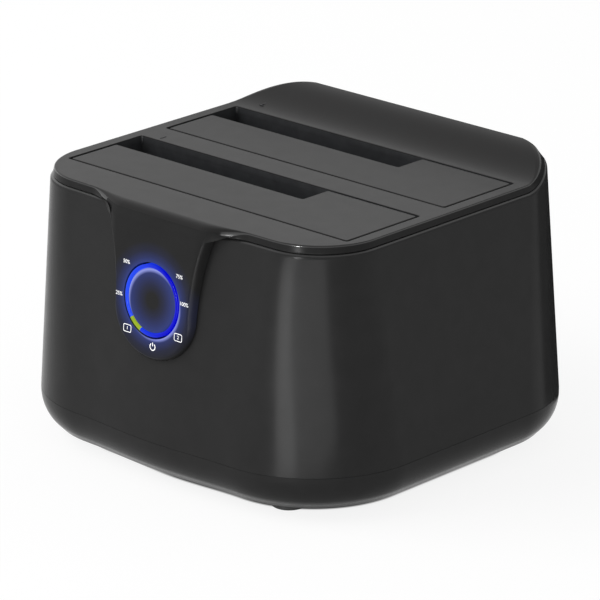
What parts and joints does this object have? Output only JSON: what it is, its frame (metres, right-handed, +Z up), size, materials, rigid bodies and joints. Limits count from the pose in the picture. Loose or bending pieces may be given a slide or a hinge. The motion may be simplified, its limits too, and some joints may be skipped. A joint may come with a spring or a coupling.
{
  "type": "hard drive docking station",
  "caption": "Free-standing desktop dock for bare hard drives: gloss casing, matte top with sprung flap doors over the bays, raised rear ledge, lit ring button on a front tongue.",
  "frame": {"origin": "on the table under the middle of the casing, level with the bottom of the feet", "axes": "+X to the right as seen from the front, +Y to the back, +Z up"},
  "size_m": [0.1258, 0.1167, 0.082],
  "materials": {
    "gloss_black_abs": "polished injection moulding",
    "satin_grey_abs": "fine sparked texture",
    "black_abs": "plain moulding",
    "black_nylon": "plain moulding",
    "blue_nylon": "plain moulding",
    "cream_nylon": "plain moulding",
    "cable_pvc": "extruded",
    "circuit_board": "solder mask",
    "chip_epoxy": "moulded epoxy",
    "capacitor_can": "drawn can with printed sleeve",
    "ferrite": "pressed ferrite",
    "nickel_can": "nickel plated",
    "gold_plate": "gold flash",
    "led_resin": "clear resin",
    "ring_acrylic": "clear light guide, lit blue",
    "steel": "zinc plated",
    "foot_rubber": "moulded"
  },
  "bodies": {
    "casing": {"base_tray": "gloss_black_abs", "body_shell": "gloss_black_abs", "top_cover": "satin_grey_abs", "bay_guide_front": "black_abs", "bay_guide_rear": "black_abs", "main_board": "circuit_board", "drive_socket_front": "black_nylon", "drive_socket_rear": "black_nylon", "drive_contacts_front": "gold_plate", "drive_contacts_rear": "gold_plate", "bridge_chip": "chip_epoxy", "board_capacitors": "capacitor_can", "board_inductors": "ferrite", "crystal": "nickel_can", "data_socket_shell": "nickel_can", "data_socket_insert": "blue_nylon", "power_inlet": "black_nylon", "power_inlet_pin": "gold_plate", "switch_housing": "black_nylon", "light_board": "circuit_board", "light_leds": "led_resin", "tact_switch": "black_nylon", "light_ring": "ring_acrylic", "cable_plug_light": "cream_nylon", "cable_plug_main": "cream_nylon", "ribbon_cable": "cable_pvc", "hinge_pin_front": "steel", "hinge_pin_rear": "steel", "hinge_spring_front": "steel", "hinge_spring_rear": "steel", "feet": "foot_rubber", "case_screws": "steel", "board_screws": "steel", "light_board_screws": "steel"},
    "front_door": {"door_front": "satin_grey_abs"},
    "rear_door": {"door_rear": "satin_grey_abs"},
    "clone_button": {"clone_button": "gloss_black_abs", "tact_plunger": "black_nylon"},
    "power_rocker": {"power_rocker": "black_abs"}
  },
  "joints": [
    {"name": "front_door_hinge", "type": "hinge", "parent": "casing", "child": "front_door", "pos_m": [0, -0.0394, 0.072], "axis": [-1, 0, 0], "range_deg": [0, 90], "stiffness_Nm_per_rad": 0.01, "springref_deg": -28.65, "deforming": ["hinge_spring_front"]},
    {"name": "rear_door_hinge", "type": "hinge", "parent": "casing", "child": "rear_door", "pos_m": [0, -0.0016, 0.072], "axis": [-1, 0, 0], "range_deg": [0, 90], "stiffness_Nm_per_rad": 0.01, "springref_deg": -28.65, "deforming": ["hinge_spring_rear"]},
    {"name": "button_press", "type": "slide", "parent": "casing", "child": "clone_button", "axis": [0, 0.9962, -0.0872], "range_m": [0, 0.0009], "stiffness_N_per_m": 1000, "springref_m": -0.0004},
    {"name": "rocker_tilt", "type": "hinge", "parent": "casing", "child": "power_rocker", "pos_m": [-0.02, 0.0541, 0.0228], "axis": [1, 0, 0], "range_deg": [0, 16]}
  ]
}
